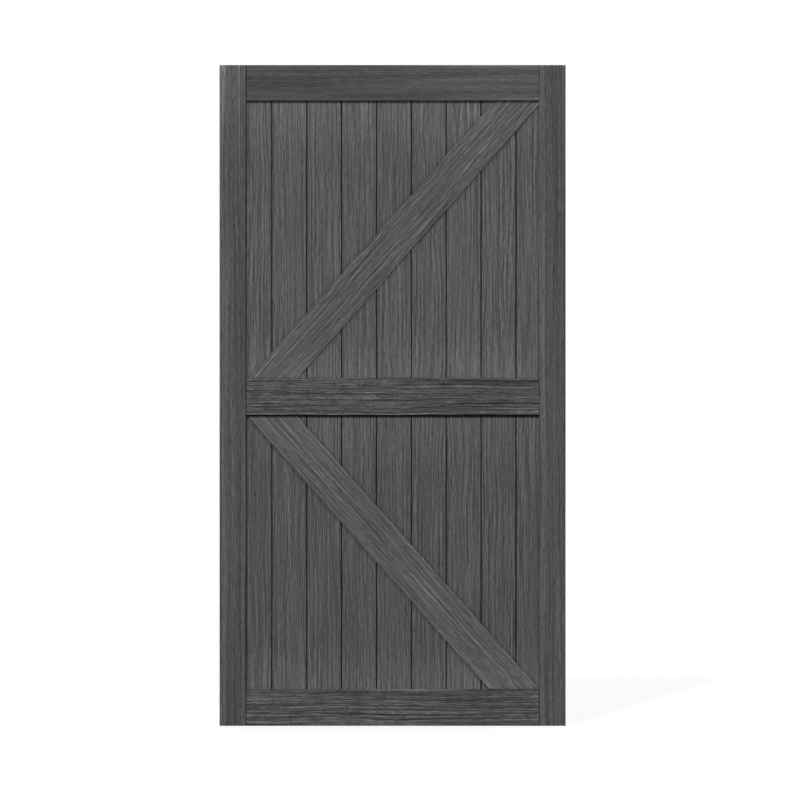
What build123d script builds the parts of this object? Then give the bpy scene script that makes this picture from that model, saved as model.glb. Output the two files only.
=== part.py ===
from build123d import *
import math
import os

# A framed barn door leaf. Two stiles and three rails are grooved round the panels, tongued
# boards stand in the grooves, and a diagonal brace lies on each face of each panel.
# Millimetres. The origin is the middle of the top edge, +X is to the right seen from the
# front, the front faces -Y and +Z is up.

# Overall size
door_width = 1117.6
door_height = 2133.6
frame_thickness = 44.45

# Frame members, as seen from the front
stile_width = 85.0
top_rail_width = 114.7
middle_rail_width = 119.3
bottom_rail_width = 117.4
lower_panel_height = 886.6
frame_ease = 2.0
shoulder_gap = 1.2

# Housing, the groove that holds the boards' edges and the rails' stub tenons
housing_depth = 14.0
housing_clearance = 0.2
housing_end_gap = 0.5

# Boards
board_thickness = 18.0
board_pitch = 112.65
narrowest_edge_board = 45.0
joint_gap = 3.2
joint_shift = 4.3
board_ease = 0.8

# Tongues, on each board's right edge, and the grooves that take them
tongue_thickness = 6.0
tongue_reach = 6.0
tongue_clearance = 0.2
tongue_end_gap = 0.5

# Braces, each from corner to corner of its panel, the upper one a little to the right of them
upper_brace_width = 117.0
lower_brace_width = 120.0
brace_thickness = 4.8
brace_end_gap = 0.3
brace_ease = 1.2
upper_brace_shift = 12.0

# Heights of the rails' edges, down from the top of the door
door_bottom = -door_height
top_rail_bottom = -top_rail_width
bottom_rail_top = door_bottom + bottom_rail_width
middle_rail_bottom = bottom_rail_top + lower_panel_height
middle_rail_top = middle_rail_bottom + middle_rail_width

# The clear width between the stiles, and how far a board or tenon goes into its housing
panel_width = door_width - 2 * stile_width
housing_width = board_thickness + 2 * housing_clearance
seat_depth = housing_depth - housing_end_gap

# Whole boards fill the middle of a panel, and a cut board closes it at each side
whole_boards = math.floor((panel_width - 2 * narrowest_edge_board) / board_pitch)
board_count = whole_boards + 2
first_joint_x = joint_shift - whole_boards * board_pitch / 2

panels = {
    "upper": (middle_rail_top, top_rail_bottom),
    "lower": (bottom_rail_top, middle_rail_bottom),
}

# Each brace's width, its rise, 1 where it goes up to the right and -1 where it goes down to
# the right, and how far it lies to the right of its panel's corners
braces = {
    "upper": (upper_brace_width, 1, upper_brace_shift),
    "lower": (lower_brace_width, -1, 0),
}


def save(piece, name):
    piece.part.label = name
    export_step(piece.part, f"parts/{name}.step")


def face_arrises(piece):
    # The edges round the front face and the back face.
    faces_by_depth = piece.faces().sort_by(Axis.Y)
    return faces_by_depth[0].edges() + faces_by_depth[-1].edges()


def make_stile(name, side):
    with BuildPart() as stile:
        with BuildSketch(Plane.XY.offset(door_bottom)):
            with Locations((side * (door_width - stile_width) / 2, 0)):
                Rectangle(stile_width, frame_thickness)
        extrude(amount=door_height)
        fillet(face_arrises(stile), frame_ease)
        with BuildSketch(Plane.XY.offset(door_bottom)):
            with Locations((side * (panel_width + housing_depth) / 2, 0)):
                Rectangle(housing_depth, housing_width)
        extrude(amount=door_height, mode=Mode.SUBTRACT)
    save(stile, name)


def make_rail(name, bottom, top, panel_below, panel_above):
    # A rail is grooved along each edge that has a panel, and its tenons stop at those grooves.
    tenon_bottom = bottom + housing_depth if panel_below else bottom
    tenon_top = top - housing_depth if panel_above else top
    with BuildPart() as rail:
        with BuildSketch(Plane.YZ):
            with Locations((0, (bottom + top) / 2)):
                Rectangle(frame_thickness, top - bottom)
        extrude(amount=panel_width / 2 - shoulder_gap, both=True)
        fillet(face_arrises(rail), frame_ease)
        with BuildSketch(Plane.YZ):
            if panel_below:
                with Locations((0, bottom + housing_depth / 2)):
                    Rectangle(housing_width, housing_depth)
            if panel_above:
                with Locations((0, top - housing_depth / 2)):
                    Rectangle(housing_width, housing_depth)
        extrude(amount=panel_width / 2, both=True, mode=Mode.SUBTRACT)
        with BuildSketch(Plane.YZ):
            with Locations((0, (tenon_bottom + tenon_top) / 2)):
                Rectangle(board_thickness, tenon_top - tenon_bottom)
        extrude(amount=panel_width / 2 + seat_depth, both=True)
    save(rail, name)


def make_board(name, number, bottom, top):
    # The first and last boards are cut to width and stand in the stiles. Every other edge is
    # jointed, with a groove on the left and a tongue on the right across the shadow gap.
    grooved = number > 1
    tongued = number < board_count
    left = -panel_width / 2 - seat_depth
    right = panel_width / 2 + seat_depth
    if grooved:
        left = first_joint_x + (number - 2) * board_pitch + joint_gap / 2
    if tongued:
        right = first_joint_x + (number - 1) * board_pitch - joint_gap / 2
    foot = Plane.XY.offset(bottom - seat_depth)
    length = top - bottom + 2 * seat_depth
    with BuildPart() as board:
        with BuildSketch(foot):
            with Locations(((left + right) / 2, 0)):
                Rectangle(right - left, board_thickness)
        extrude(amount=length)
        sides = board.edges().filter_by(Axis.Z).group_by(Axis.X)
        if grooved:
            fillet(sides[0], board_ease)
            groove_depth = tongue_reach + tongue_end_gap
            with BuildSketch(foot):
                with Locations((left + groove_depth / 2, 0)):
                    Rectangle(groove_depth, tongue_thickness + 2 * tongue_clearance)
            extrude(amount=length, mode=Mode.SUBTRACT)
        if tongued:
            sides = board.edges().filter_by(Axis.Z).group_by(Axis.X)
            fillet(sides[-1], board_ease)
            tongue_length = joint_gap + tongue_reach
            with BuildSketch(foot):
                with Locations((right + tongue_length / 2, 0)):
                    Rectangle(tongue_length, tongue_thickness)
            extrude(amount=length)
    save(board, name)


def brace_end_length(brace_width, width, height):
    # A strip of brace_width runs from corner to corner of a panel, with its ends cut level.
    # The level cut of length e has e^2 height^2 = brace_width^2 (height^2 + (width - e)^2).
    square = brace_width**2
    a = height**2 - square
    b = square * width
    c = square * (height**2 + width**2)
    return (math.sqrt(b**2 + a * c) - b) / a


def make_brace(name, bottom, top, brace_width, rise, shift, facing):
    # facing is 1 on the front and -1 on the back. What shift moves past the stile is cut off.
    half_width = panel_width / 2 - brace_end_gap
    low = bottom + brace_end_gap
    high = top - brace_end_gap
    end = brace_end_length(brace_width, 2 * half_width, high - low)
    with BuildPart() as brace:
        with BuildSketch(Plane.XZ.offset(facing * board_thickness / 2)):
            with BuildLine():
                Polyline(
                    (shift - rise * half_width, low),
                    (shift - rise * (half_width - end), low),
                    (shift + rise * half_width, high),
                    (shift + rise * (half_width - end), high),
                    close=True,
                )
            make_face()
            with Locations((0, (low + high) / 2)):
                Rectangle(2 * half_width, high - low, mode=Mode.INTERSECT)
        extrude(amount=facing * brace_thickness)
        outer_face = brace.faces().sort_by(Axis.Y)[0 if facing > 0 else -1]
        fillet(outer_face.edges().sort_by(SortBy.LENGTH)[-2:], brace_ease)
    save(brace, name)


os.makedirs("parts", exist_ok=True)

make_stile("left_stile", -1)
make_stile("right_stile", 1)
make_rail("top_rail", top_rail_bottom, 0, panel_below=True, panel_above=False)
make_rail("middle_rail", middle_rail_bottom, middle_rail_top, panel_below=True, panel_above=True)
make_rail("bottom_rail", door_bottom, bottom_rail_top, panel_below=False, panel_above=True)

for panel, (bottom, top) in panels.items():
    for number in range(1, board_count + 1):
        make_board(f"{panel}_board_{number}", number, bottom, top)
    make_brace(f"{panel}_brace_front", bottom, top, *braces[panel], facing=1)
    make_brace(f"{panel}_brace_back", bottom, top, *braces[panel], facing=-1)
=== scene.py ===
import math

import bmesh
import bpy
import numpy as np
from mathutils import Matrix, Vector


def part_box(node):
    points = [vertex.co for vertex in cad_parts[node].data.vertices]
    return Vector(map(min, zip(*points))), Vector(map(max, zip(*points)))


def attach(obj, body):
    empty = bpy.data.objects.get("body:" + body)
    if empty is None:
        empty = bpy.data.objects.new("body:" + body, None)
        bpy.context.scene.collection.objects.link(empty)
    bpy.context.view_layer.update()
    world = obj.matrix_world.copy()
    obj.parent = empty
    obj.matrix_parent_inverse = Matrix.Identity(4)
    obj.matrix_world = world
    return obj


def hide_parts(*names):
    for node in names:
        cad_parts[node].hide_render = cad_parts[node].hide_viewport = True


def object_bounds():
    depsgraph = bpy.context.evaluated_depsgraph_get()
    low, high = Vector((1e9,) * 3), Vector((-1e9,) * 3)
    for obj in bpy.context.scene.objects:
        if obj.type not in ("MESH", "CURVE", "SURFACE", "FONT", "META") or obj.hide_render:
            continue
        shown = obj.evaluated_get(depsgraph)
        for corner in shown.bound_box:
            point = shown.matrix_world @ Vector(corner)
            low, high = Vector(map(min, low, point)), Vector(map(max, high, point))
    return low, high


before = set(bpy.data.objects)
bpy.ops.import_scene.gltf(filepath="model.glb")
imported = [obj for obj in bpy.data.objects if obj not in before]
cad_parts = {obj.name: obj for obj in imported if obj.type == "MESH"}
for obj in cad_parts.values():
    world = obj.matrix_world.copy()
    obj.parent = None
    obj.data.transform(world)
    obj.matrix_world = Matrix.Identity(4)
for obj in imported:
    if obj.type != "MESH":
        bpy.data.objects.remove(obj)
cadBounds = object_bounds()
print("frame loaded,", len(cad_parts), "pieces")


# noise and grain, all on whole arrays in metres

def latticeValue(column, row, seed):
    # a fixed number from 0 to 1 for each lattice point, by mixing the bits of its two whole numbers
    mixed = column.astype(np.int64) * 374761393 + row.astype(np.int64) * 668265263 + seed * 974634777
    mixed = mixed & 0xFFFFFFFF
    mixed = ((mixed ^ (mixed >> 13)) * 1274126177) & 0xFFFFFFFF
    return (mixed ^ (mixed >> 16)) / 0xFFFFFFFF


def smoothNoise(x, y, seed):
    # between four lattice points the value eases from one to the next by 3t^2 - 2t^3, both ways
    column, row = np.floor(x), np.floor(y)
    s, t = x - column, y - row
    s, t = s * s * (3 - 2 * s), t * t * (3 - 2 * t)
    low = latticeValue(column, row, seed) * (1 - s) + latticeValue(column + 1, row, seed) * s
    high = latticeValue(column, row + 1, seed) * (1 - s) + latticeValue(column + 1, row + 1, seed) * s
    return low * (1 - t) + high * t


grainForm = {
    "knotLength": 3.2, "knotHold": 0.9,
    "furrowEdge": 3.5, "rollShare": 0.35, "furrowShare": 0.4, "fineShare": 0.25,
    "fadeReach": 0.004, "fadeLeast": 0.15, "wearPatch": (0.03, 0.024), "wearReach": 0.005,
    "edgeStep": 1.6, "edgeShare": 0.7, "edgeFadeReach": 0.003, "edgeFadeLeast": 0.1,
    "arrisReach": 3.0, "cornerDirt": 0.85,
}


def bendGrain(across, along, grain, seed):
    # a grain line's own place across the plank: the true place, swayed sideways by slow noise, and
    # held back near a knot by a bell curve, so that the lines part round it and close again
    sway = smoothNoise(across / grain["swayWidth"], along / grain["swayLength"], seed) - 0.5
    bent = across + 2 * grain["sway"] * sway
    for knotAcross, knotAlong, size in grain.get("knots", []):
        length = grainForm["knotLength"] * size
        reach = ((across - knotAcross) / size) ** 2 + ((along - knotAlong) / length) ** 2
        bent = bent - grainForm["knotHold"] * (across - knotAcross) * np.exp(-reach)
    return bent


def furrowDepth(bent, along, grain, seed):
    # 0 on a ridge to 1 in a furrow: a roll of long narrow noise, thin furrows where a second noise
    # passes its middle value, and a third, finer noise between them
    roll = smoothNoise(bent / grain["rollWidth"], along / grain["rollLength"], seed + 11)
    line = smoothNoise(bent / grain["lineWidth"], along / grain["lineLength"], seed + 12)
    fine = smoothNoise(bent / grain["fineWidth"], along / grain["fineLength"], seed + 13)
    furrow = np.clip(1 - grainForm["furrowEdge"] * np.abs(line - 0.5), 0, 1)
    depth = grainForm["rollShare"] * roll + grainForm["furrowShare"] * furrow + grainForm["fineShare"] * fine
    return np.clip(depth, 0, 1)


def grainFade(nearest):
    # the share of the furrows' depth that is left near an arris
    return np.clip(nearest / grainForm["fadeReach"], grainForm["fadeLeast"], 1)


def edgeWear(across, along, nearest, amount, seed):
    # wood worn off near an arris: noise in patches, squared so that most of the edge keeps its shape
    wide, long = grainForm["wearPatch"]
    worn = amount * smoothNoise(across / wide, along / long, seed) ** 2
    return worn * np.clip(1 - nearest / grainForm["wearReach"], 0, 1) ** 2


def grainShift(seed):
    # moves each piece's noise, so that no two pieces share their marks
    return np.array([1.7, 0.9, 2.3]) * (seed % 97)


# plank surfaces

def spread(low, high, step, easeLow, easeHigh):
    # places from low to high, evenly apart, with a close fan of places over each rounded arris
    fan = 1 - np.cos(np.linspace(0, math.pi / 2, 5))
    first = low + easeLow * fan if easeLow else np.array([low])
    last = (high - easeHigh * fan)[::-1] if easeHigh else np.array([high])
    count = max(2, int(round((last[0] - first[-1]) / step)) + 1)
    return np.concatenate([first[:-1], np.linspace(first[-1], last[0], count), last[1:]])


def easeDrop(toSide, toEnd, ease):
    # how far a rounded arris lies below the face: a quarter circle at a side or end, a ball at a corner
    a = np.clip(ease - toSide, 0, None)
    b = np.clip(ease - toEnd, 0, None)
    return ease - np.sqrt(np.clip(ease**2 - a**2 - b**2, 0, None))


def sideRun(side, half, ease, step):
    # the places down one long edge from front to back, as (outwards, depth) pairs: evenly spaced on a
    # plain edge, and the four corners of a groove or tongue on a jointed one
    if side["kind"] == "plain":
        depth = spread(-half + ease, half - ease, step, 0, 0)[1:-1]
        return np.zeros_like(depth), depth
    reach = -side["reach"] if side["kind"] == "groove" else side["reach"]
    lip = side["width"] / 2
    return np.array([0, reach, reach, 0]), np.array([-lip, -lip, lip, lip])


def plankRings(shape, grain, seed):
    # a plank as rings round its section, carried along its length: front face, high edge, back face and
    # low edge, with the faces pushed in by the arris rounding, its wear and the furrows of the grain
    half = shape["thickness"] / 2
    ease = shape["ease"]
    low, high = shape["across"]
    start, end = shape["along"]
    endEase = ease if shape["easedEnds"] else 0
    columns = spread(low, high, shape["columnStep"], ease * shape["easedLow"], ease * shape["easedHigh"])
    rows = spread(start, end, shape["rowStep"], endEase, endEase)
    across, along = np.meshgrid(columns, rows)
    far = np.full_like(across, 1.0)
    toLow = across - low if shape["easedLow"] else far
    toHigh = high - across if shape["easedHigh"] else far
    toSide = np.minimum(toLow, toHigh)
    toEnd = np.minimum(along - start, end - along) if shape["easedEnds"] else far
    nearest = np.minimum(toSide, toEnd)
    bent = bendGrain(across, along, grain, seed)
    drop = easeDrop(toSide, toEnd, ease)
    faces = []
    for back in (0, 1):
        depth = furrowDepth(bent, along, grain, seed + 40 * back)
        worn = edgeWear(across, along, nearest, grain["wear"], seed + 7 + back)
        faces.append((depth, half - drop - worn - grain["depth"] * depth * grainFade(nearest)))

    edges = []
    for sign, edge, side in ((1, high, shape["highSide"]), (-1, low, shape["lowSide"])):
        outwards, depth = sideRun(side, half, ease, shape["columnStep"] * grainForm["edgeStep"])
        place, run = np.meshgrid(depth, rows)
        furrow = np.zeros_like(place)
        if side["kind"] == "plain":
            furrow = furrowDepth(place + edge, run, grain, seed + 90 + sign)
            inside = (half - ease - np.abs(place)) / grainForm["edgeFadeReach"]
            furrow = furrow * np.clip(inside, grainForm["edgeFadeLeast"], 1)
        acrossEdge = edge + sign * (outwards[None, :] - grainForm["edgeShare"] * grain["depth"] * furrow)
        jointed = np.zeros_like(place)
        if side["kind"] != "plain":
            jointed[:] = (side["lipDirt"], 1, 1, side["lipDirt"])
        edgeBent = bendGrain(np.full_like(place, edge), run, grain, seed)
        edges.append((acrossEdge, place, edgeBent, furrow, jointed))

    (frontGrain, frontFace), (backGrain, backFace) = faces
    (highAcross, highPlace, highBent, highGrain, highJoint), lowEdge = edges
    lowAcross, lowPlace, lowBent, lowGrain, lowJoint = (part[:, ::-1] for part in lowEdge)
    arris = np.clip(1 - nearest / (grainForm["arrisReach"] * ease), 0, 1)
    corner = np.zeros_like(across)
    for side, inwards in ((shape["lowSide"], across - low), (shape["highSide"], high - across)):
        if "faceDirt" in side:
            dirtAndPaintedShade = grainForm["cornerDirt"] * np.clip(1 - inwards / side["faceDirt"], 0, 1)
            corner = np.maximum(corner, dirtAndPaintedShade)
    plain = np.zeros_like
    rings = {
        "across": np.hstack([across, highAcross, across[:, ::-1], lowAcross]),
        "depth": np.hstack([-frontFace, highPlace, backFace[:, ::-1], lowPlace]),
        "bent": np.hstack([bent, highBent, bent[:, ::-1], lowBent]),
        "grain": np.hstack([frontGrain, highGrain, backGrain[:, ::-1], lowGrain]),
        "arris": np.hstack([arris, plain(highPlace), arris[:, ::-1], plain(lowPlace)]),
        "joint": np.hstack([corner, highJoint, corner[:, ::-1], lowJoint]),
    }
    rings["along"] = np.repeat(rows[:, None], rings["across"].shape[1], axis=1)
    if "tenon" in shape:
        addTenons(rings, shape["tenon"])
    return rings


def addTenons(rings, tenon):
    # at each end the section steps in to the tenon's, clamped to its height and thickness, and runs on
    low, high = tenon["across"]
    for last, outwards in ((0, -1), (-1, 1)):
        for reach in (0, tenon["reach"]):
            ring = {key: value[last:][:1].copy() for key, value in rings.items()}
            ring["across"] = np.clip(ring["across"], low, high)
            ring["depth"] = np.clip(ring["depth"], -tenon["thickness"] / 2, tenon["thickness"] / 2)
            ring["along"] = ring["along"] + outwards * reach
            ring["joint"] = np.zeros_like(ring["joint"])
            for key in rings:
                order = [ring[key], rings[key]] if last == 0 else [rings[key], ring[key]]
                rings[key] = np.vstack(order)


meshing = {"weld": 1e-6, "sharpAngle": 42}


def ringMesh(name, places, marks, caps):
    # quads between each ring and the next, closed round the section, and the given faces over the ends
    rowCount, ringCount = places.shape[:2]
    index = np.arange(rowCount * ringCount).reshape(rowCount, ringCount)
    turned = np.roll(index, -1, axis=1)
    quads = np.stack([index[:-1], turned[:-1], turned[1:], index[1:]], axis=-1).reshape(-1, 4)
    loops = np.concatenate([quads.ravel()] + caps)
    lengths = np.concatenate([np.full(len(quads), 4), [len(cap) for cap in caps]])
    mesh = bpy.data.meshes.new(name)
    mesh.vertices.add(index.size)
    mesh.vertices.foreach_set("co", places.astype(np.float32).ravel())
    mesh.loops.add(len(loops))
    mesh.loops.foreach_set("vertex_index", loops.astype(np.int32))
    mesh.polygons.add(len(lengths))
    mesh.polygons.foreach_set("loop_start", (np.cumsum(lengths) - lengths).astype(np.int32))
    for key, values in marks.items():
        kind, field = ("FLOAT_VECTOR", "vector") if values.ndim == 3 else ("FLOAT", "value")
        mark = mesh.attributes.new(key, kind, "POINT")
        mark.data.foreach_set(field, values.astype(np.float32).ravel())
    mesh.update(calc_edges=True)
    shell = bmesh.new()
    shell.from_mesh(mesh)
    bmesh.ops.remove_doubles(shell, verts=shell.verts, dist=meshing["weld"])
    bmesh.ops.recalc_face_normals(shell, faces=shell.faces)
    shell.to_mesh(mesh)
    shell.free()
    mesh.shade_smooth()
    mesh.set_sharp_from_angle(angle=math.radians(meshing["sharpAngle"]))
    piece = bpy.data.objects.new(name, mesh)
    bpy.context.scene.collection.objects.link(piece)
    return piece


def dress(piece, node, material):
    piece.data.materials.append(material)
    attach(piece, "root")
    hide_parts(node)


def straightPiece(name, node, upright, shape, grain, seed, tone, material):
    # an upright plank runs along Z with X across it, a level one along X with Z across it; its tone is
    # given at shares of its length, and may be darker towards its low edge
    rings = plankRings(shape, grain, seed)
    order = ("across", "depth", "along") if upright else ("along", "depth", "across")
    places = np.stack([rings[key] for key in order], axis=-1)
    plankPos = np.stack([rings["bent"], rings["depth"], rings["along"]], axis=-1) + grainShift(seed)
    share = (rings["along"] - shape["along"][0]) / (shape["along"][1] - shape["along"][0])
    level = np.interp(share, *tone["along"])
    # painted shade: the tone darkens towards the plank's low edge, beside the gap
    if "lowEdge" in tone:
        reach, dark = tone["lowEdge"]
        level = level * (1 - dark * np.clip(1 - (rings["across"] - shape["across"][0]) / reach, 0, 1))
    marks = {"plankPos": plankPos, "furrow": rings["grain"], "arris": rings["arris"],
             "joint": rings["joint"], "share": share, "tone": level}
    rowCount, ringCount = places.shape[:2]
    ends = [np.arange(ringCount)[::-1], np.arange(ringCount) + (rowCount - 1) * ringCount]
    piece = ringMesh(name, places, marks, ends)
    dress(piece, node, material)


# the charcoal finishes

def greyOf(level):
    # the linear value of a screen grey from 0 to 255
    return ((level / 255 + 0.055) / 1.055) ** 2.4


def addNode(tree, kind, inputs, **settings):
    made = tree.nodes.new(kind)
    for key, value in settings.items():
        setattr(made, key, value)
    for socket, value in inputs.items():
        if isinstance(value, bpy.types.NodeSocket):
            tree.links.new(value, made.inputs[socket])
        else:
            made.inputs[socket].default_value = value
    return made


def markOf(tree, name, output="Fac"):
    return addNode(tree, "ShaderNodeAttribute", {}, attribute_name=name).outputs[output]


def streaks(tree, place, across, along, detail, roughness=0.55):
    # noise drawn out along the grain: so many cycles a metre across it and along it
    cycles = (across, across, along)
    drawn = addNode(tree, "ShaderNodeVectorMath", {0: place, 1: cycles}, operation="MULTIPLY")
    inputs = {"Vector": drawn.outputs[0], "Scale": 1.0, "Detail": detail, "Roughness": roughness}
    return addNode(tree, "ShaderNodeTexNoise", inputs).outputs["Fac"]


def keenStreaks(tree, place, scales, detail, roughness, keen):
    # streaks less a share of themselves from a little way off to both sides, so that light lines lie
    # beside dark ones; plain streaks where a look is not keen
    centre = streaks(tree, place, *scales, detail, roughness)
    if not keen:
        return centre
    total = sums(tree, "MULTIPLY", centre, 1 + 2 * keen["share"])
    for way in (-1, 1):
        apart = (way * keen["apart"], 0, 0)
        moved = addNode(tree, "ShaderNodeVectorMath", {0: place, 1: apart}, operation="ADD")
        beside = streaks(tree, moved.outputs[0], *scales, detail, roughness)
        total = sums(tree, "SUBTRACT", total, sums(tree, "MULTIPLY", beside, keen["share"]))
    return total


def remap(tree, value, fromLow, fromHigh, toLow, toHigh):
    inputs = {"Value": value, "From Min": fromLow, "From Max": fromHigh, "To Min": toLow, "To Max": toHigh}
    return addNode(tree, "ShaderNodeMapRange", inputs, clamp=True).outputs["Result"]


def sums(tree, operation, a, b=0.0):
    return addNode(tree, "ShaderNodeMath", {0: a, 1: b}, operation=operation).outputs[0]


def blend(tree, factor, a, b):
    first = a if isinstance(a, bpy.types.NodeSocket) else (*a, 1)
    inputs = {0: factor, 6: first, 7: (*b, 1)}
    return addNode(tree, "ShaderNodeMix", inputs, data_type="RGBA").outputs[2]


finish = {
    "fibres": (900.0, 38.0), "hairs": (2600.0, 65.0), "hair": 0.34,
    "noiseRange": (0.28, 0.72), "figureRange": (0.36, 0.64), "poreRange": (0.56, 0.68),
    "furrowRange": (0.15, 0.85), "rubRange": (0.4, 0.6), "patchRange": (0.5, 0.6), "patchReach": 0.055,
    "endStart": 0.015, "blueFrom": 0.8, "blueTo": 1.05,
    "blueGrey": (1.0, 1.0, 1.055), "redGrey": (1.1, 0.99, 1.01),
    "fibreHeight": 0.5, "hairHeight": 0.2, "bumpDepth": 0.0008,
    "glossRange": (0.3, 0.7), "roughness": (0.66, 0.52), "specular": 0.12,
}


def swing(tree, tone, noise, amount, gain=1.0):
    # the tone turned up and down by the noise, by up to the amount for all but its rarest values
    change = sums(tree, "MULTIPLY", remap(tree, noise, *finish["noiseRange"], -amount, amount), gain)
    return sums(tree, "MULTIPLY", tone, sums(tree, "ADD", change, 1.0))


def paintedShadeLines(tree, tone, lines):
    # painted shade along straight lines in the door's plane, or painted light where a line's strength is
    # below 0: full within the line's core, gone at its reach, and only to the right of its start if it has
    # one
    place = addNode(tree, "ShaderNodeTexCoord", {}).outputs["Object"]
    for (right, up), offset, (core, reach, strength), *start in lines:
        run = addNode(tree, "ShaderNodeVectorMath", {0: place, 1: (right, 0, up)}, operation="DOT_PRODUCT")
        away = sums(tree, "ABSOLUTE", sums(tree, "SUBTRACT", run.outputs["Value"], offset))
        if start:
            level = addNode(tree, "ShaderNodeSeparateXYZ", {0: place}).outputs["X"]
            away = sums(tree, "MAXIMUM", away, sums(tree, "SUBTRACT", start[0], level))
        tone = sums(tree, "MULTIPLY", tone, remap(tree, away, core, reach, 1 - strength, 1.0))
    return tone


def charcoalWood(name, look, dirtAndPaintedShade):
    # a grey stain over drawn-out grain: bands, streaks, lines, flecks, fibres, hairs and pores change its
    # tone, furrows and joints are darker and worn arrises lighter, with a cast of blue or red in places
    material = bpy.data.materials.new(name)
    material.use_nodes = True
    tree = material.node_tree
    tree.nodes.clear()
    place = markOf(tree, "plankPos", "Vector")
    broad = streaks(tree, place, *look["bands"], 1.0)
    streak = streaks(tree, place, *look["streaks"], 1.0)
    line = keenStreaks(tree, place, look["lines"], 1.0, 0.6, look.get("keen"))
    fleck = keenStreaks(tree, place, look["flecks"], 1.0, 0.55, look.get("keen"))
    fibre = streaks(tree, place, *finish["fibres"], 2.0)
    hair = streaks(tree, place, *finish["hairs"], 1.0)
    pore = streaks(tree, place, *look["pores"], 0.0)
    figure = 1.0
    if "figure" in look:
        figure = remap(tree, broad, *finish["figureRange"], 1 - look["figure"], 1 + look["figure"])

    tone = swing(tree, markOf(tree, "tone"), broad, look["band"])
    tone = swing(tree, tone, streak, look["streak"])
    tone = swing(tree, tone, line, look["line"], figure)
    tone = swing(tree, tone, fleck, look["fleck"], figure)
    tone = swing(tree, tone, fibre, look["fibre"])
    tone = swing(tree, tone, hair, finish["hair"])
    tone = sums(tree, "MULTIPLY", tone, remap(tree, pore, *finish["poreRange"], 1.0, 1 - look["pore"]))
    ridge = look["ridge"]
    furrow = remap(tree, markOf(tree, "furrow"), *finish["furrowRange"], 1 + ridge, 1 - ridge)
    # painted shade and painted light along the given lines, over the wood's own tone
    tone = paintedShadeLines(tree, sums(tree, "MULTIPLY", tone, furrow), dirtAndPaintedShade)
    rub = remap(tree, line, *finish["rubRange"], 0.0, look["rub"])
    rub = sums(tree, "MULTIPLY", markOf(tree, "arris"), rub)
    tone = sums(tree, "MULTIPLY", tone, sums(tree, "ADD", rub, 1.0))
    tone = sums(tree, "MULTIPLY", tone, remap(tree, markOf(tree, "joint"), 0.0, 1.0, 1.0, look["jointShade"]))

    grey = greyOf(look["level"])
    colour = (grey, grey, grey)
    if "ends" in look:
        # lighter and bluer towards both ends, and a reddish patch among the streaks part of the way down
        ends = look["ends"]
        share = markOf(tree, "share")
        blueGrey = tuple(grey * part for part in finish["blueGrey"])
        redGrey = tuple(grey * part for part in finish["redGrey"])
        fromTop = sums(tree, "SUBTRACT", 1.0, share)
        for fromEnd, reach, light in ((fromTop, ends["top"], ends["topLight"]),
                                      (share, ends["foot"], ends["footLight"])):
            lift = remap(tree, fromEnd, finish["endStart"], reach, 1 + light, 1.0)
            tone = sums(tree, "MULTIPLY", tone, lift)
            blueFrom, blueTo = finish["blueFrom"] * reach, finish["blueTo"] * reach
            blue = remap(tree, fromEnd, blueFrom, blueTo, ends["blue"], 0.0)
            colour = blend(tree, blue, colour, blueGrey)
        toPatch = sums(tree, "ABSOLUTE", sums(tree, "SUBTRACT", share, ends["patch"]))
        patch = sums(tree, "MULTIPLY", remap(tree, toPatch, 0.0, finish["patchReach"], ends["red"], 0.0),
                     remap(tree, broad, *finish["patchRange"], 0.0, 1.0))
        colour = blend(tree, patch, colour, redGrey)
    toned = addNode(tree, "ShaderNodeVectorMath", {0: colour, "Scale": tone}, operation="SCALE")

    fineHeight = sums(tree, "ADD", sums(tree, "MULTIPLY", fibre, finish["fibreHeight"]),
                      sums(tree, "MULTIPLY", hair, finish["hairHeight"]))
    grainHeight = sums(tree, "ADD", sums(tree, "ADD", line, fleck), fineHeight)
    bump = addNode(tree, "ShaderNodeBump",
                   {"Strength": look["bump"], "Distance": finish["bumpDepth"], "Height": grainHeight})
    gloss = remap(tree, streak, *finish["glossRange"], *finish["roughness"])
    shader = addNode(tree, "ShaderNodeBsdfPrincipled",
                     {"Base Color": toned.outputs[0], "Roughness": gloss, "Normal": bump.outputs[0],
                      "Specular IOR Level": finish["specular"]})
    addNode(tree, "ShaderNodeOutputMaterial", {"Surface": shader.outputs[0]})
    return material


# frame members

frameJoint = {"ease": 0.002, "housingDepth": 0.014, "housingWidth": 0.0184, "shoulderGap": 0.0012,
              "tenonThickness": 0.018, "lipDirt": 0.5,
              "leftShoulderPaintedShade": (0.0008, 0.003, 0.5), "rightShoulderPaintedLight": (0.0008, 0.003, -0.1)}
plainSide = {"kind": "plain"}
housing = {"kind": "groove", "reach": frameJoint["housingDepth"], "width": frameJoint["housingWidth"],
           "lipDirt": frameJoint["lipDirt"]}

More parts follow.
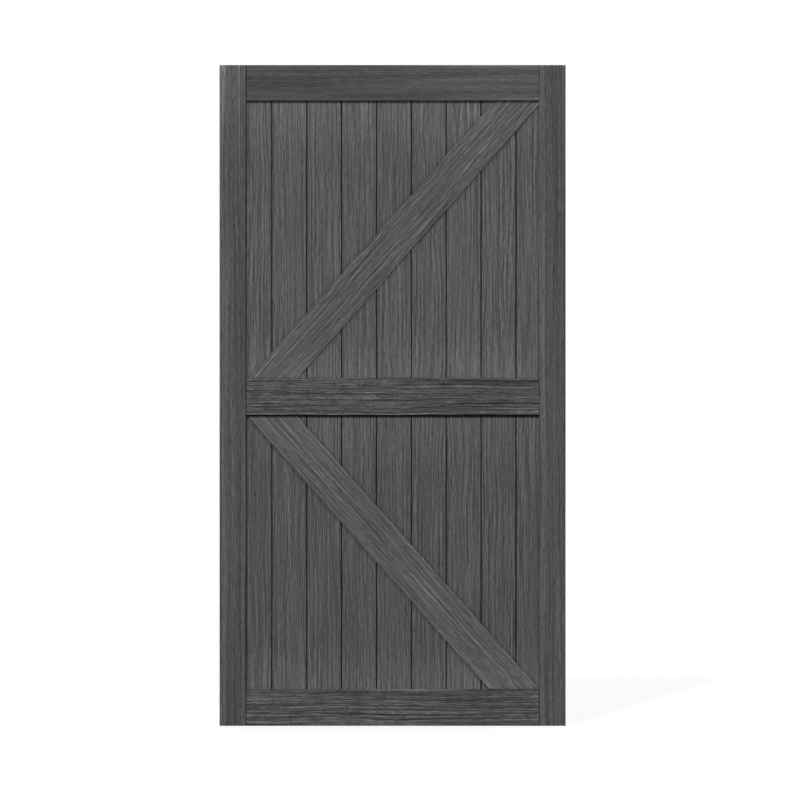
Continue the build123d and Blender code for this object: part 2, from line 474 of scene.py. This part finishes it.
stile = {
    "columnStep": 0.0016, "rowStep": 0.008,
    "grain": {"sway": 0.006, "swayWidth": 0.06, "swayLength": 0.45, "rollWidth": 0.011, "rollLength": 0.30,
              "lineWidth": 0.012, "lineLength": 0.35, "fineWidth": 0.0045, "fineLength": 0.11,
              "depth": 0.0004, "wear": 0.0006},
    "look": {"level": 81, "bands": (30.0, 0.3), "streaks": (80.0, 1.0), "lines": (210.0, 2.0),
             "flecks": (230.0, 24.0), "pores": (480.0, 60.0), "keen": {"share": 0.12, "apart": 0.0065},
             "band": 0.11, "streak": 0.13, "line": 0.27, "fleck": 0.17, "fibre": 0.2, "pore": 0.24,
             "ridge": 0.06, "rub": 0.2, "jointShade": 0.35, "bump": 0.3},
    "seed": {"left_stile": 3, "right_stile": 17}, "tone": {"left_stile": 0.95, "right_stile": 1.02},
    "topLight": {"left_stile": 0.52, "right_stile": 0.05}, "paintedTopLightReach": 0.32,
    # painted light along each stile's left edge, which faces the lamp, and painted shade along its right edge
    "leftPaintedLight": {"left_stile": (0.012, 0.028, -0.4), "right_stile": (0.012, 0.03, -0.34)},
    "rightPaintedShade": {"left_stile": (0.0005, 0.003, 0.2), "right_stile": (0.003, 0.008, 0.36)},
}
topRail = {
    "columnStep": 0.0018, "rowStep": 0.0075,
    "grain": {"sway": 0.004, "swayWidth": 0.05, "swayLength": 0.35, "rollWidth": 0.010, "rollLength": 0.25,
              "lineWidth": 0.013, "lineLength": 0.30, "fineWidth": 0.005, "fineLength": 0.10,
              "depth": 0.0003, "wear": 0.0006},
    "look": {"level": 85, "bands": (16.0, 0.7), "streaks": (60.0, 1.4), "lines": (200.0, 2.2),
             "flecks": (230.0, 24.0), "pores": (480.0, 60.0), "band": 0.18, "streak": 0.13, "line": 0.25,
             "fleck": 0.18, "fibre": 0.15, "pore": 0.14, "ridge": 0.05, "rub": 0.25, "jointShade": 0.35,
             "bump": 0.3},
    "tone": {"top_rail": ((0, 1), (0.91, 1.07))},
}
roughRail = {
    "columnStep": 0.0016, "rowStep": 0.0068,
    "grain": {"sway": 0.0045, "swayWidth": 0.04, "swayLength": 0.2, "rollWidth": 0.008, "rollLength": 0.18,
              "lineWidth": 0.007, "lineLength": 0.2, "fineWidth": 0.0035, "fineLength": 0.05,
              "depth": 0.0006, "wear": 0.0009},
    "look": {"level": 80.5, "bands": (24.0, 1.2), "streaks": (90.0, 1.2), "lines": (310.0, 1.8),
             "flecks": (320.0, 16.0), "pores": (480.0, 80.0), "band": 0.06, "streak": 0.12, "line": 0.78,
             "fleck": 0.5, "fibre": 0.3, "pore": 0.4, "ridge": 0.1, "rub": 0.3, "jointShade": 0.35,
             "bump": 0.4},
    "tone": {"middle_rail": ((0, 0.25, 0.5, 0.7, 0.8, 0.88, 1), (1.02, 0.98, 0.92, 0.87, 0.83, 0.87, 0.99)),
             "bottom_rail": ((0, 0.15, 0.3, 0.5, 0.65, 0.8, 0.9, 1),
                             (1.11, 1.06, 1.0, 1.01, 0.97, 0.84, 0.9, 0.99))},
    "footPaintedLight": {"middle_rail": (0.0035, 0.0085, -0.6), "bottom_rail": (0.045, 0.065, -0.2)},
    "topPaintedShading": {"middle_rail": (0.0025, 0.010, 0.16), "bottom_rail": (0.002, 0.007, -0.16)},
    "braceFootPaintedShadow": (0.0016, 0.0036, 0.6),
}


def makeStiles():
    for node, seed in stile["seed"].items():
        low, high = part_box(node)
        dirtAndPaintedShade = [((1, 0), low.x, stile["leftPaintedLight"][node]), ((1, 0), high.x, stile["rightPaintedShade"][node])]
        material = charcoalWood(node.replace("_stile", "StileWood"), stile["look"], dirtAndPaintedShade)
        onLeft = low.x + high.x < 0
        shape = {"thickness": high.y - low.y, "ease": frameJoint["ease"], "across": (low.x, high.x),
                 "along": (low.z, high.z), "easedLow": True, "easedHigh": True, "easedEnds": True,
                 "columnStep": stile["columnStep"], "rowStep": stile["rowStep"],
                 "lowSide": plainSide if onLeft else housing, "highSide": housing if onLeft else plainSide}
        # painted light: the stile's tone rises towards its top
        light, reach = stile["topLight"][node], stile["paintedTopLightReach"] / (high.z - low.z)
        base = stile["tone"][node]
        tone = {"along": ((0, 1 - reach, 1), (base, base, base * (1 + light)))}
        straightPiece(node + "_wood", node, True, shape, stile["grain"], seed, tone, material)
    print("stiles made")


def makeRails():
    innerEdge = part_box("right_stile")[0].x
    plans = (("top_rail", topRail, "smoothRailWood", "smooth_rail_wood", 29, (True, False), []),
             ("middle_rail", roughRail, "middleRailWood", "rough_rail_wood", 41, (True, True),
              [(0.012, -0.36, 0.007), (-0.02, 0.19, 0.009)]),
             ("bottom_rail", roughRail, "bottomRailWood", "rough_rail_wood", 53, (False, True),
              [(0.016, 0.30, 0.008), (-0.018, -0.14, 0.009)]))
    for node, piece, finish, slot, seed, (panelBelow, panelAbove), knots in plans:
        low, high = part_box(node)
        middle = (low.z + high.z) / 2
        shoulder = innerEdge - frameJoint["shoulderGap"]
        tenonLow = low.z + frameJoint["housingDepth"] * panelBelow
        tenonHigh = high.z - frameJoint["housingDepth"] * panelAbove
        shape = {"thickness": high.y - low.y, "ease": frameJoint["ease"], "across": (low.z, high.z),
                 "along": (-shoulder, shoulder), "easedLow": True, "easedHigh": True, "easedEnds": True,
                 "columnStep": piece["columnStep"], "rowStep": piece["rowStep"],
                 "lowSide": housing if panelBelow else plainSide,
                 "highSide": housing if panelAbove else plainSide,
                 "tenon": {"across": (tenonLow, tenonHigh), "reach": high.x - shoulder,
                           "thickness": frameJoint["tenonThickness"]}}
        grain = dict(piece["grain"], knots=[(middle + up, right, size) for up, right, size in knots])
        # painted shade at the left shoulder, in the stile's shadow, and painted light at the right shoulder
        dirtAndPaintedShade = [((1, 0), -shoulder, frameJoint["leftShoulderPaintedShade"]),
                ((1, 0), shoulder, frameJoint["rightShoulderPaintedLight"])]
        # painted light along the rail's low edge, painted shade along the middle rail's top and painted light
        # along the bottom rail's top, and a painted shadow beside the lower brace's foot
        if panelAbove:
            dirtAndPaintedShade += [((0, 1), low.z, roughRail["footPaintedLight"][node]),
                     ((0, 1), high.z, roughRail["topPaintedShading"][node])]
        if node == "bottom_rail":
            _, braceHigh, _, cut, _ = braceOutline("lower")
            dirtAndPaintedShade.append(((0, 1), high.z, roughRail["braceFootPaintedShadow"], braceHigh.x - cut))
        material = charcoalWood(finish, piece["look"], dirtAndPaintedShade)
        tone = {"along": piece["tone"][node]}
        straightPiece(node + "_wood", node, False, shape, grain, seed, tone, material)
    print("rails made")


# braces

brace = {
    "width": {"upper": 0.117, "lower": 0.120}, "ease": 0.0012, "cutOff": {"upper": 0.012, "lower": 0.0},
    "columnStep": 0.0017, "rowStep": 0.0085, "tone": {"upper": 1.02, "lower": 1.045},
    "leftOut": {"upper": 0.003, "lower": 0.0055},
    "leftPaintedShade": {"upper": (0.002, 0.008, 0.16), "lower": (0.0015, 0.006, 0.24)},
    "rightOut": {"upper": 0.0072, "lower": 0.0046},
    "rightPaintedShade": {"upper": (0.0012, 0.0062, 0.16), "lower": (0.0012, 0.0062, 0.25)},
    "topInside": {"upper": 0.0056, "lower": 0.0}, "seed": {"upper": 211, "lower": 227}, "backSeed": 8,
    "topPaintedShading": {"upper": (0.0008, 0.0028, 0.6), "lower": (0.0045, 0.0108, 0.97)},
    "lowerFootPaintedShadow": (0.0008, 0.002, 0.5), "lowerRightPaintedLight": (0.001, 0.007, -0.22), "arrisReach": 0.003,
    "grain": {"sway": 0.004, "swayWidth": 0.05, "swayLength": 0.4, "rollWidth": 0.009, "rollLength": 0.30,
              "lineWidth": 0.010, "lineLength": 0.35, "fineWidth": 0.0045, "fineLength": 0.12,
              "depth": 0.0004, "wear": 0.0004},
    "look": {"level": 88, "bands": (28.0, 0.8), "streaks": (80.0, 1.6), "lines": (290.0, 4.0),
             "flecks": (310.0, 22.0), "pores": (480.0, 60.0), "keen": {"share": 0.15, "apart": 0.0065},
             "figure": 0.3, "band": 0.05, "streak": 0.08, "line": 0.46, "fleck": 0.24, "fibre": 0.2,
             "pore": 0.18, "ridge": 0.06, "rub": 0.12, "jointShade": 0.35, "bump": 0.35,
             "ends": {"top": 0.2, "topLight": 0.2, "foot": 0.16, "footLight": 0.17, "blue": 0.9,
                      "patch": 0.6, "red": 0.6}},
}


def levelCut(panel, width, height):
    # length of a brace's level end cut, from cut^2 height^2 = brace^2 (height^2 + (width - cut)^2)
    square = brace["width"][panel] ** 2
    a, b = height**2 - square, square * width
    return (math.sqrt(b**2 + a * square * (height**2 + width**2)) - b) / a


def braceOutline(panel):
    # its box, the way it leans, the length of its level cuts and the level distance between them
    low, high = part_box(panel + "_brace_front")
    rises = 1 if panel == "upper" else -1
    width = high.x - low.x + brace["cutOff"][panel]
    cut = levelCut(panel, width, high.z - low.z)
    return low, high, rises, cut, width - cut


def braceEdges(panel):
    # the way to the right across the brace, square to its length, and how far that way its long edges lie
    low, high, rises, cut, lean = braceOutline(panel)
    rise = high.z - low.z
    length = math.hypot(lean, rise)
    normal = (rise / length, -rises * lean / length)
    foot = low.x if rises > 0 else high.x
    left, right = sorted(normal[0] * x + normal[1] * low.z for x in (foot, foot + rises * cut))
    return normal, left, right


def bracePaintedShade(panel):
    # painted shade on the boards, a little outside the brace's two long edges, where its shadow falls
    normal, left, right = braceEdges(panel)
    return [(normal, left - brace["leftOut"][panel], brace["leftPaintedShade"][panel]),
            (normal, right + brace["rightOut"][panel], brace["rightPaintedShade"][panel])]


def bracePiece(node, panel, inFront, seed, material):
    # a strip between its two level end cuts: for a share s across it and q along it, the point lies q of
    # the way from the low cut's point at s to the high cut's, stopped at the stile where it would pass it
    low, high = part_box(node)
    cutOff = brace["cutOff"][panel]
    rises, cut, lean = braceOutline(panel)[2:]
    ease = brace["ease"]
    true = brace["width"][panel]
    kink = 1 - cutOff / cut if cutOff else 0.5
    columns = spread(0, true, brace["columnStep"], ease, ease)
    kinkColumn = int(np.argmin(np.abs(columns - kink * true)))
    columns[kinkColumn] = kink * true
    rise = high.z - low.z
    length = math.hypot(lean, rise)
    rows = spread(0, 1, brace["rowStep"] / length, 0, 0)
    across, q = np.meshgrid(columns, rows)
    s = across / true
    reach = np.minimum(1, (high.x - low.x - s * cut) / lean) if cutOff else np.ones_like(s)
    right = s * cut + lean * q * reach       # from the foot's far corner, the way the brace leans
    up = rise * q * reach
    x = low.x + right if rises > 0 else high.x - right
    z = low.z + up
    unit = np.array([lean, rise]) / length
    along = right * unit[0] + up * unit[1]
    toSide = np.minimum(across, true - across)
    bent = bendGrain(across, along, brace["grain"], seed)
    depth = furrowDepth(bent, along, brace["grain"], seed)
    worn = edgeWear(across, along, toSide, brace["grain"]["wear"], seed + 7)
    sunk = easeDrop(toSide, np.full_like(toSide, 1.0), ease) + worn
    sunk = sunk + brace["grain"]["depth"] * depth * grainFade(toSide)
    y = low.y + sunk if inFront else high.y - sunk
    seat = high.y if inFront else low.y      # the face that lies on the boards

    last = len(columns) - 1
    under = [last, kinkColumn, 0]            # three places across the seated face
    flat = np.zeros_like(y[:, under])

    def ring(face):
        return np.hstack([face, face[:, under]])

    places = np.stack([ring(x), np.hstack([y, flat + seat]), ring(z)], axis=-1)
    plankPos = np.stack([ring(bent), places[..., 1], ring(along)], axis=-1) + grainShift(seed)
    arris = np.clip(1 - toSide / brace["arrisReach"], 0, 1)
    marks = {"plankPos": plankPos, "furrow": np.hstack([depth, flat]), "arris": np.hstack([arris, flat]),
             "joint": np.zeros(places.shape[:2]), "share": ring(q),
             "tone": np.full(places.shape[:2], brace["tone"][panel])}
    rowCount, ringCount = places.shape[:2]
    ends = []
    for start in (0, (rowCount - 1) * ringCount):
        near = np.concatenate([np.arange(0, kinkColumn + 1), [last + 2, last + 3]])
        far = np.concatenate([np.arange(kinkColumn, last + 1), [last + 1, last + 2]])
        ends += [near + start, far + start]
    piece = ringMesh(node + "_wood", places, marks, ends)
    dress(piece, node, material)


def makeBraces():
    for panel, seed in brace["seed"].items():
        low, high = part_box(panel + "_brace_front")
        # painted shadow below the rail at the brace's top end, a painted shadow at the lower brace's foot and
        # painted light along its upper right edge
        dirtAndPaintedShade = [((0, 1), high.z - brace["topInside"][panel], brace["topPaintedShading"][panel])]
        if panel == "lower":
            normal, _, right = braceEdges(panel)
            dirtAndPaintedShade += [((0, 1), low.z, brace["lowerFootPaintedShadow"]), (normal, right, brace["lowerRightPaintedLight"])]
        material = charcoalWood(panel + "BraceWood", brace["look"], dirtAndPaintedShade)
        bracePiece(panel + "_brace_front", panel, True, seed, material)
        bracePiece(panel + "_brace_back", panel, False, seed + brace["backSeed"], material)
    print("braces made")


# panel boards

board = {
    "ease": 0.0008, "gap": 0.0032, "tongueThickness": 0.006, "tongueReach": 0.006, "grooveDepth": 0.0065,
    "grooveWidth": 0.0064, "count": 9, "columnStep": 0.002, "rowStep": 0.0092,
    "tone": {"upper": 1.0, "lower": 0.86}, "toneSpread": 0.03, "toneSeed": 5, "lowEdge": (0.007, 0.11),
    "seed": {"upper": 101, "lower": 501}, "seedStep": 31, "lipDirt": 1.0, "faceDirt": 0.0009,
    "leftStilePaintedShade": (0.0012, 0.005, 0.35), "rightStilePaintedShade": (0.0012, 0.005, 0.32),
    "topPaintedShading": {"upper": [(0.0, (0.004, 0.009, 0.08))],
                "lower": [(0.0, (0.0025, 0.0085, 0.98)), (0.0082, (0.001, 0.0027, 0.7))]},
    "grain": {"sway": 0.0045, "swayWidth": 0.05, "swayLength": 0.18, "rollWidth": 0.009, "rollLength": 0.22,
              "lineWidth": 0.010, "lineLength": 0.22, "fineWidth": 0.005, "fineLength": 0.08,
              "depth": 0.0004, "wear": 0.0003},
    "look": {"level": 89, "bands": (30.0, 1.2), "streaks": (80.0, 2.4), "lines": (310.0, 4.0),
             "flecks": (330.0, 22.0), "pores": (480.0, 60.0), "keen": {"share": 0.22, "apart": 0.0065},
             "figure": 0.25, "band": 0.02, "streak": 0.03, "line": 0.36, "fleck": 0.19, "fibre": 0.22,
             "pore": 0.16, "ridge": 0.02, "rub": 0.1, "jointShade": 0.06, "bump": 0.35,
             "ends": {"top": 0.22, "topLight": 0.27, "foot": 0.17, "footLight": 0.3, "blue": 1.0,
                      "patch": 0.635, "red": 0.9}},
}


def makeBoards():
    joint = {"lipDirt": board["lipDirt"], "faceDirt": board["faceDirt"]}
    groove = {"kind": "groove", "reach": board["grooveDepth"], "width": board["grooveWidth"], **joint}
    tongue = {"kind": "tongue", "reach": board["gap"] + board["tongueReach"],
              "width": board["tongueThickness"], **joint}
    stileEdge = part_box("right_stile")[0].x
    for row, panel in enumerate(("upper", "lower")):
        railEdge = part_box("top_rail" if panel == "upper" else "middle_rail")[0].z
        # painted shade beside the stiles and a painted shadow under the rail above the panel
        dirtAndPaintedShade = [((1, 0), -stileEdge, board["leftStilePaintedShade"]), ((1, 0), stileEdge, board["rightStilePaintedShade"])]
        dirtAndPaintedShade += [((0, 1), railEdge - under, line) for under, line in board["topPaintedShading"][panel]]
        dirtAndPaintedShade += bracePaintedShade(panel)
        material = charcoalWood(panel + "BoardWood", board["look"], dirtAndPaintedShade)
        for number in range(1, board["count"] + 1):
            node = f"{panel}_board_{number}"
            seed = board["seed"][panel] + board["seedStep"] * number
            low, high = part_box(node)
            grooved = number > 1
            tongued = number < board["count"]
            right = high.x - tongue["reach"] if tongued else high.x
            shape = {"thickness": high.y - low.y, "ease": board["ease"], "across": (low.x, right),
                     "along": (low.z, high.z), "easedLow": grooved, "easedHigh": tongued, "easedEnds": False,
                     "columnStep": board["columnStep"], "rowStep": board["rowStep"],
                     "lowSide": groove if grooved else plainSide,
                     "highSide": tongue if tongued else plainSide}
            chance = float(latticeValue(np.array(number), np.array(row), board["toneSeed"]))
            level = board["tone"][panel] * (1 + board["toneSpread"] * (2 * chance - 1))
            tone = {"along": ((0, 1), (level, level)), "lowEdge": board["lowEdge"]}
            straightPiece(node + "_wood", node, True, shape, board["grain"], seed, tone, material)
    print("boards made")


makeStiles()
makeRails()
makeBoards()
makeBraces()


# studio

studio = {
    "floorSize": 70.0, "floorDrop": 0.001, "floorGrey": 0.28, "floorLift": 0.77,
    "sunTowards": (0.24, 1.0, -0.68), "sunStrength": 2.2, "sunAngle": 3.5,
    "frontAmbient": 0.31, "backAmbient": 1.35, "backTowards": (0.5, 0.87, 0.0), "backRange": (-0.1, 0.6),
}


def whiteToView(tree):
    # 1 for camera, glossy and transmission rays, so that mirrors and glass see the white too
    path = addNode(tree, "ShaderNodeLightPath", {})
    seen = sums(tree, "MAXIMUM", path.outputs["Is Camera Ray"], path.outputs["Is Glossy Ray"])
    return sums(tree, "MAXIMUM", seen, path.outputs["Is Transmission Ray"])


def makeFloor():
    half = studio["floorSize"] / 2
    level = cadBounds[0].z - studio["floorDrop"]
    corners = [(-half, -half, level), (half, -half, level), (half, half, level), (-half, half, level)]
    mesh = bpy.data.meshes.new("studioFloor")
    mesh.from_pydata(corners, [], [(0, 1, 2, 3)])
    floor = bpy.data.objects.new("studioFloor", mesh)
    bpy.context.scene.collection.objects.link(floor)
    material = bpy.data.materials.new("paleFloor")
    material.use_nodes = True
    tree = material.node_tree
    tree.nodes.clear()
    grey = studio["floorGrey"]
    matte = addNode(tree, "ShaderNodeBsdfDiffuse", {"Color": (grey, grey, grey, 1)})
    lift = sums(tree, "MULTIPLY", whiteToView(tree), studio["floorLift"])
    glow = addNode(tree, "ShaderNodeEmission", {"Color": (1, 1, 1, 1), "Strength": lift})
    both = addNode(tree, "ShaderNodeAddShader", {0: matte.outputs[0], 1: glow.outputs[0]})
    addNode(tree, "ShaderNodeOutputMaterial", {"Surface": both.outputs[0]})
    mesh.materials.append(material)


def makeLight():
    lamp = bpy.data.lights.new("keySun", "SUN")
    lamp.energy = studio["sunStrength"]
    lamp.angle = math.radians(studio["sunAngle"])
    key = bpy.data.objects.new("keySun", lamp)
    bpy.context.scene.collection.objects.link(key)
    key.rotation_mode = "QUATERNION"
    key.rotation_quaternion = Vector(studio["sunTowards"]).to_track_quat("-Z", "Y")

    world = bpy.data.worlds.new("softWhite")
    bpy.context.scene.world = world
    world.use_nodes = True
    tree = world.node_tree
    tree.nodes.clear()
    # the soft light is weaker on the side that the sun lights and stronger to the right and behind the door
    towardsSky = addNode(tree, "ShaderNodeTexCoord", {}).outputs["Generated"]
    behind = addNode(tree, "ShaderNodeVectorMath", {0: towardsSky, 1: studio["backTowards"]},
                     operation="DOT_PRODUCT").outputs["Value"]
    soft = remap(tree, behind, *studio["backRange"], studio["frontAmbient"], studio["backAmbient"])
    dim = addNode(tree, "ShaderNodeBackground", {"Color": (1, 1, 1, 1), "Strength": soft})
    white = addNode(tree, "ShaderNodeBackground", {"Color": (1, 1, 1, 1), "Strength": 1.0})
    mixed = addNode(tree, "ShaderNodeMixShader",
                    {0: whiteToView(tree), 1: dim.outputs[0], 2: white.outputs[0]})
    addNode(tree, "ShaderNodeOutputWorld", {"Surface": mixed.outputs[0]})


camera = {"distance": 18.0, "pixelsPerMetre": 309.75, "imageWidth": 800, "sensor": 36.0,
          "right": 0.0240, "down": 0.0148, "farthest": 200.0}


def makeCamera():
    # the lens that shows so many pixels a metre at the door's front, from that far away
    low, high = cadBounds
    lens = bpy.data.cameras.new("frontView")
    lens.sensor_width = camera["sensor"]
    lens.lens = camera["distance"] * camera["pixelsPerMetre"] * camera["sensor"] / camera["imageWidth"]
    lens.clip_end = camera["farthest"]
    view = bpy.data.objects.new("frontView", lens)
    view.location = ((low.x + high.x) / 2 + camera["right"], low.y - camera["distance"],
                     (low.z + high.z) / 2 - camera["down"])
    view.rotation_euler = (math.pi / 2, 0, 0)
    bpy.context.scene.collection.objects.link(view)
    bpy.context.scene.camera = view


makeFloor()
makeLight()
makeCamera()
bpy.context.scene.view_settings.view_transform = "Standard"
print("studio ready")
